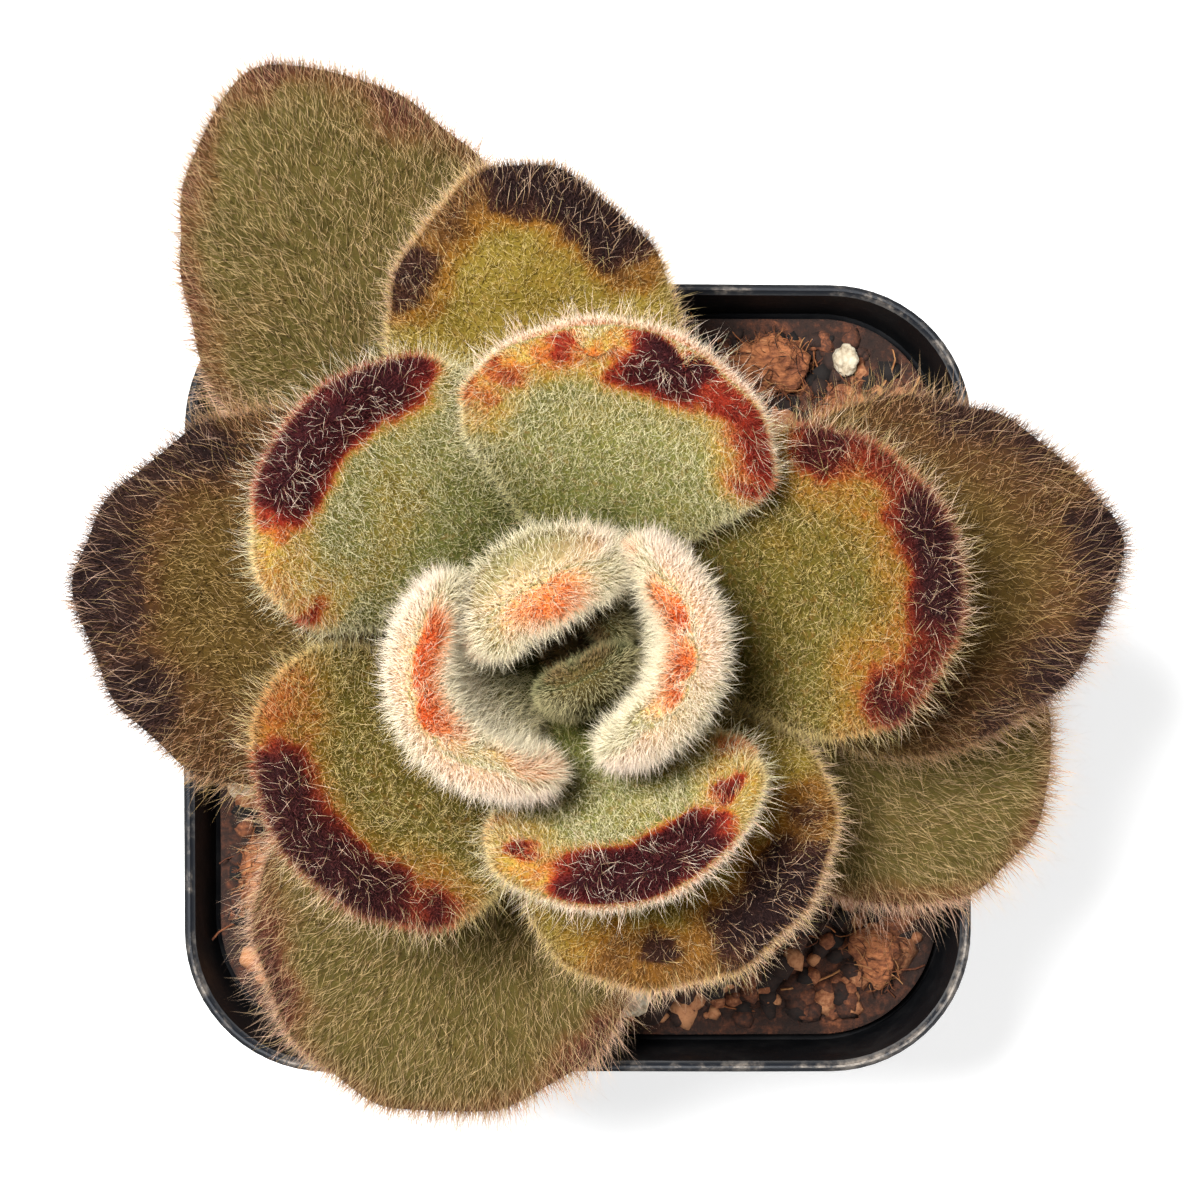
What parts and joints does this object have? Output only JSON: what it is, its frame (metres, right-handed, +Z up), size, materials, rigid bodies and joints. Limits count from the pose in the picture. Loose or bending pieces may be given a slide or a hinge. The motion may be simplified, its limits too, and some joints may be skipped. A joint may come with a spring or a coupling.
{
  "type": "potted succulent",
  "caption": "Rosette of thick, cupped, felt-haired leaves with rust-marked toothed tips on a short stem, in a tapered square plastic nursery pot filled with peat.",
  "frame": {"origin": "middle of the pot's underside", "axes": "+Z up from the surface that the pot stands on, +X and +Y square to two of the pot's sides"},
  "size_m": [0.0885, 0.0911, 0.1059],
  "materials": {
    "pot_plastic": "satin black moulded plastic, scuffed and dusty along the rim",
    "peat": "damp coarse peat with coir fibre",
    "bark": "rough crumbling bark and coir",
    "perlite": "porous pale mineral grain",
    "stem_felt": "green stem under short pale hair",
    "old_leaf_felt": "olive brown leaf under sparse straw hair, brown toothed edge",
    "outer_leaf_felt": "yellow olive leaf under long straw hair, black-brown toothed edge",
    "middle_leaf_felt": "grey-green leaf under dense cream hair, gold to maroon edge marks",
    "young_leaf_felt": "cream felt with rust-orange tip marks",
    "bud_felt": "dark green leaf under short pale hair"
  },
  "bodies": {
    "root": {"pot": "pot_plastic", "soil": "peat", "stem": "stem_felt", "lower_leaf_1": "old_leaf_felt", "lower_leaf_2": "old_leaf_felt", "lower_leaf_3": "old_leaf_felt", "outer_leaf_1": "outer_leaf_felt", "outer_leaf_2": "outer_leaf_felt", "outer_leaf_3": "outer_leaf_felt", "outer_leaf_4": "outer_leaf_felt", "middle_leaf_1": "middle_leaf_felt", "middle_leaf_2": "middle_leaf_felt", "middle_leaf_3": "middle_leaf_felt", "middle_leaf_4": "middle_leaf_felt", "middle_leaf_5": "middle_leaf_felt", "inner_leaf_1": "young_leaf_felt", "inner_leaf_2": "young_leaf_felt", "inner_leaf_3": "young_leaf_felt", "bud_leaf_1": "bud_felt", "bud_leaf_2": "bud_felt", "bark_lump_1": "bark", "bark_lump_2": "bark", "bark_lump_3": "bark", "bark_lump_4": "bark", "bark_lump_5": "bark", "bark_lump_6": "bark", "perlite_grain_1": "perlite", "perlite_grain_2": "perlite", "perlite_grain_3": "perlite"}
  },
  "joints": []
}
